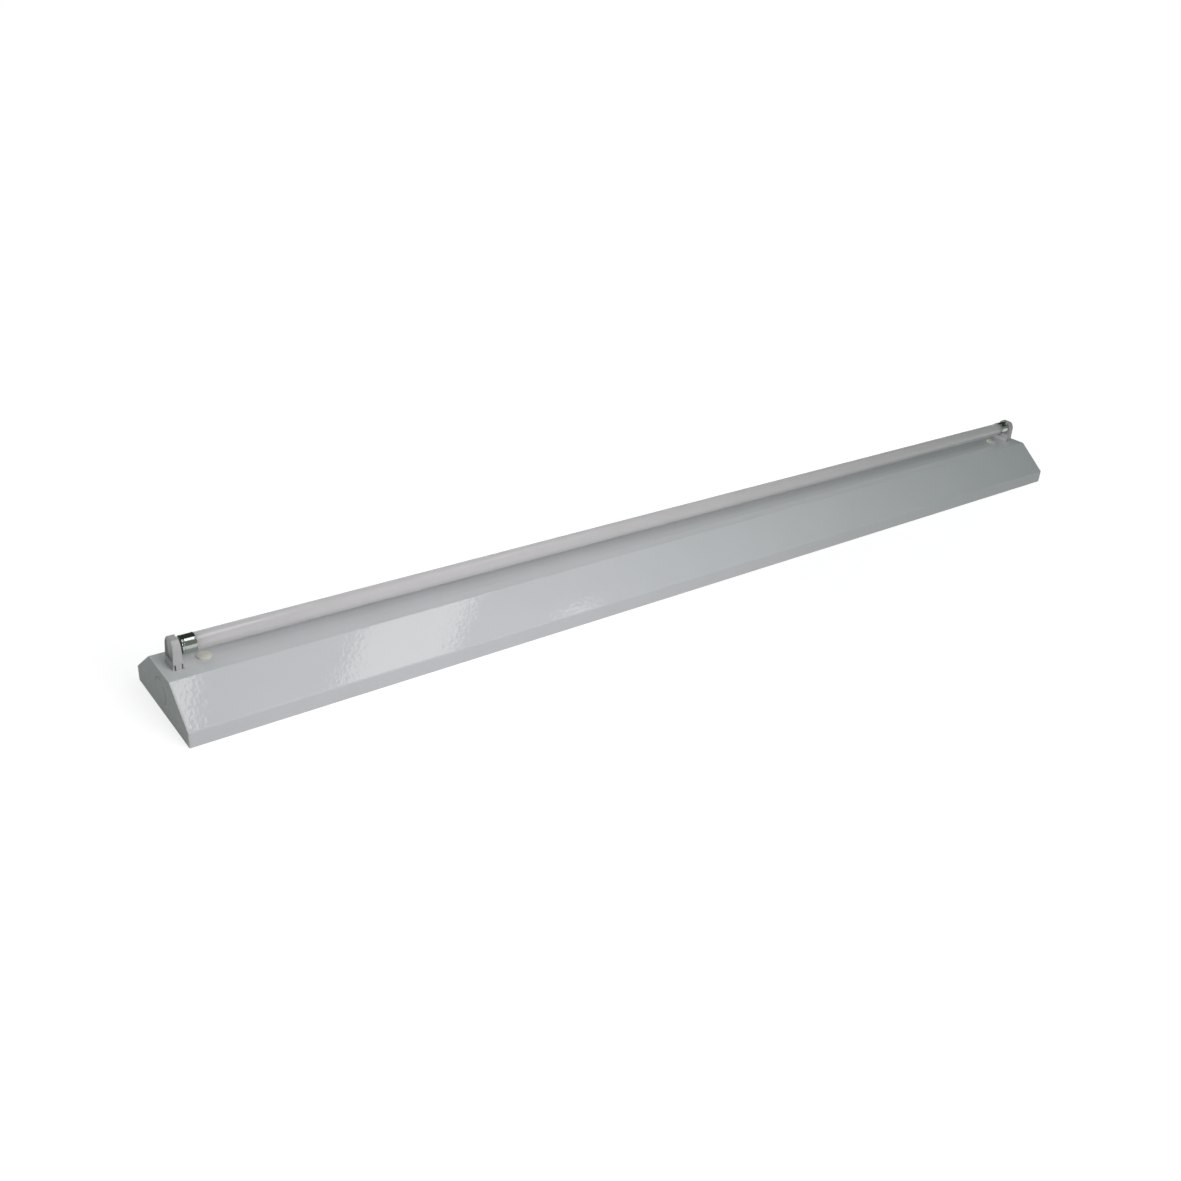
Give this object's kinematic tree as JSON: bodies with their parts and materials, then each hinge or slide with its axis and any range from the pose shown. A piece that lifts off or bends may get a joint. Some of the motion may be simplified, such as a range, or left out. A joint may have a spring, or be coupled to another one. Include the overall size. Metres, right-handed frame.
{
  "type": "batten light",
  "caption": "Long single-tube batten light: folded white cover on a base tray, with push-fit twist-lock lamp holders, a slim white tube and quarter-turn cover buttons.",
  "frame": {"origin": "middle of the flat mounting face, which is the part's lowest plane", "axes": "X along the lamp, Y across it with -Y to the picture's front, Z from the mounting face to the lamp"},
  "size_m": [1.188, 0.122, 0.07],
  "materials": {
    "white_paint": "gloss white powder coat with fine orange peel",
    "zinc_steel": "zinc-plated sheet steel",
    "cap_plastic": "moulded white plastic, satin",
    "holder_plastic": "moulded white heat-resistant plastic",
    "cream_plastic": "moulded cream plastic, smooth",
    "tube_glass": "glass with an opaque white diffusing coat",
    "lamp_cap_metal": "bright drawn aluminium",
    "insulator_plastic": "brown phenolic plastic",
    "brass_contact": "bright brass",
    "board_aluminium": "aluminium board with white solder mask",
    "led_phosphor": "yellow phosphor chips",
    "driver_steel": "bright zinc-plated steel",
    "liner_plastic": "black insulating sheet",
    "board_green": "green circuit board",
    "component_black": "dark potted components",
    "terminal_plastic": "moulded white plastic",
    "grommet_rubber": "black rubber",
    "wire_brown": "brown insulation",
    "wire_blue": "blue insulation",
    "wire_green": "green and yellow insulation",
    "wire_white": "white insulation",
    "wire_red": "red insulation"
  },
  "bodies": {
    "batten": {"base_tray": "zinc_steel", "cable_grommet": "grommet_rubber", "reflector_cover": "white_paint", "end_cap_left": "cap_plastic", "end_cap_right": "cap_plastic", "knob_bracket_left": "zinc_steel", "knob_bracket_right": "zinc_steel", "bracket_rivets": "zinc_steel", "holder_housing_left": "holder_plastic", "holder_housing_right": "holder_plastic", "holder_contacts_left": "brass_contact", "holder_contacts_right": "brass_contact", "holder_back_plate_left": "holder_plastic", "holder_back_plate_right": "holder_plastic", "driver_case": "driver_steel", "driver_lid": "driver_steel", "driver_liner": "liner_plastic", "driver_board": "board_green", "driver_components": "component_black", "driver_input_terminal": "terminal_plastic", "driver_output_terminal": "terminal_plastic", "terminal_block": "terminal_plastic", "terminal_sleeves": "brass_contact", "terminal_screws": "zinc_steel", "tray_studs": "zinc_steel", "stud_nuts": "zinc_steel", "earth_lug": "brass_contact", "wire_clips": "terminal_plastic", "wire_live": "wire_brown", "wire_neutral": "wire_blue", "wire_earth": "wire_green", "wire_left_front": "wire_white", "wire_left_back": "wire_red", "wire_right_front": "wire_white", "wire_right_back": "wire_red"},
    "lamp": {"lamp_tube": "tube_glass", "lamp_cap_left": "lamp_cap_metal", "lamp_cap_right": "lamp_cap_metal", "cap_insulator_left": "insulator_plastic", "cap_insulator_right": "insulator_plastic", "lamp_pins_left": "brass_contact", "lamp_pins_right": "brass_contact", "led_board": "board_aluminium", "led_chips": "led_phosphor", "lamp_leads": "wire_white"},
    "rotor_left": {"holder_rotor_left": "holder_plastic"},
    "rotor_right": {"holder_rotor_right": "holder_plastic"},
    "knob_left": {"cover_knob_left": "cream_plastic"},
    "knob_right": {"cover_knob_right": "cream_plastic"}
  },
  "joints": [
    {"name": "lamp_twist", "type": "hinge", "parent": "batten", "child": "lamp", "pos_m": [0, 0, 0.0613], "axis": [1, 0, 0], "range_deg": [0, 90]},
    {"name": "rotor_left_turn", "type": "hinge", "parent": "batten", "child": "rotor_left", "pos_m": [-0.578, 0, 0.0613], "axis": [1, 0, 0], "range_deg": [0, 90]},
    {"name": "rotor_right_turn", "type": "hinge", "parent": "batten", "child": "rotor_right", "pos_m": [0.578, 0, 0.0613], "axis": [1, 0, 0], "range_deg": [0, 90]},
    {"name": "knob_left_turn", "type": "hinge", "parent": "batten", "child": "knob_left", "pos_m": [-0.5545, 0, 0.044], "axis": [0, 0, 1], "range_deg": [0, 90]},
    {"name": "knob_right_turn", "type": "hinge", "parent": "batten", "child": "knob_right", "pos_m": [0.5545, 0, 0.044], "axis": [0, 0, 1], "range_deg": [0, 90]}
  ],
  "couplings": [
    {"joint": "rotor_left_turn", "follows": "lamp_twist", "ratio": 1},
    {"joint": "rotor_right_turn", "follows": "lamp_twist", "ratio": 1}
  ]
}
